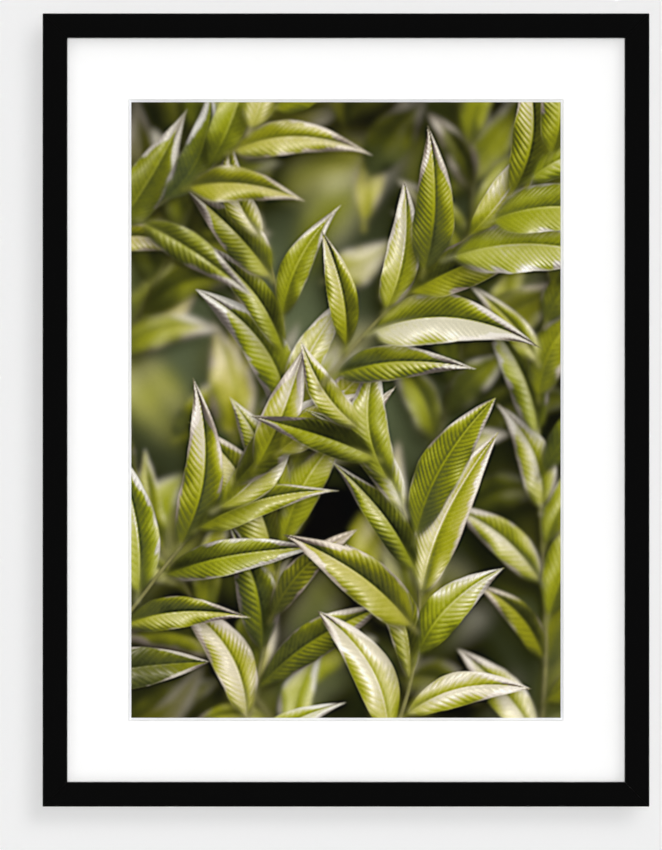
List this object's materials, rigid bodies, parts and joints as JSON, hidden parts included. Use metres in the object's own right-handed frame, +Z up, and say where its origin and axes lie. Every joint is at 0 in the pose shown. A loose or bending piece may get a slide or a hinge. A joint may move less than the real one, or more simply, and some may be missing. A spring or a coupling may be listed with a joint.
{
  "type": "framed print",
  "caption": "Print behind glass in a white bevelled window mat and a flat black wooden frame, with tabs, bumpers and a sawtooth hanger at the back.",
  "frame": {"origin": "where the wall nail bears: under the middle notch of the sawtooth hanger, in the wall's plane", "axes": "+Z up along the frame's height, +Y from the picture towards the wall, +X to the right as seen from the front"},
  "size_m": [0.4956, 0.028, 0.648],
  "materials": {
    "frame_lacquer": "flat wooden moulding in satin black lacquer, faint grain along each rail",
    "glazing": "clear picture glass, polished",
    "mat_board": "white cotton mat board, matt, with a white core in the bevel",
    "print_paper": "photographic print with a soft lustre: pale-edged yellow-green leaves over near-black ground",
    "foam_board": "white paper-faced foam board, matt",
    "hardboard": "brown hardboard, pressed smooth",
    "zinc_steel": "zinc-plated steel strip and nails",
    "bumper_rubber": "translucent soft polyurethane, slightly glossy"
  },
  "bodies": {
    "root": {"rail_top": "frame_lacquer", "rail_bottom": "frame_lacquer", "rail_left": "frame_lacquer", "rail_right": "frame_lacquer", "glazing": "glazing", "window_mat": "mat_board", "print_sheet": "print_paper", "mount_board": "foam_board", "back_board": "hardboard", "sawtooth_hanger": "zinc_steel", "hanger_nail_left": "zinc_steel", "hanger_nail_right": "zinc_steel", "tab_bottom_1": "zinc_steel", "tab_bottom_2": "zinc_steel", "tab_bottom_3": "zinc_steel", "tab_left_1": "zinc_steel", "tab_left_2": "zinc_steel", "tab_left_3": "zinc_steel", "tab_left_4": "zinc_steel", "tab_top_1": "zinc_steel", "tab_top_2": "zinc_steel", "tab_top_3": "zinc_steel", "tab_right_1": "zinc_steel", "tab_right_2": "zinc_steel", "tab_right_3": "zinc_steel", "tab_right_4": "zinc_steel", "v_nail_bottom_left_1": "zinc_steel", "v_nail_bottom_left_2": "zinc_steel", "v_nail_top_left_1": "zinc_steel", "v_nail_top_left_2": "zinc_steel", "v_nail_top_right_1": "zinc_steel", "v_nail_top_right_2": "zinc_steel", "v_nail_bottom_right_1": "zinc_steel", "v_nail_bottom_right_2": "zinc_steel", "bumper_bottom_left": "bumper_rubber", "bumper_top_left": "bumper_rubber", "bumper_top_right": "bumper_rubber", "bumper_bottom_right": "bumper_rubber"}
  },
  "joints": []
}
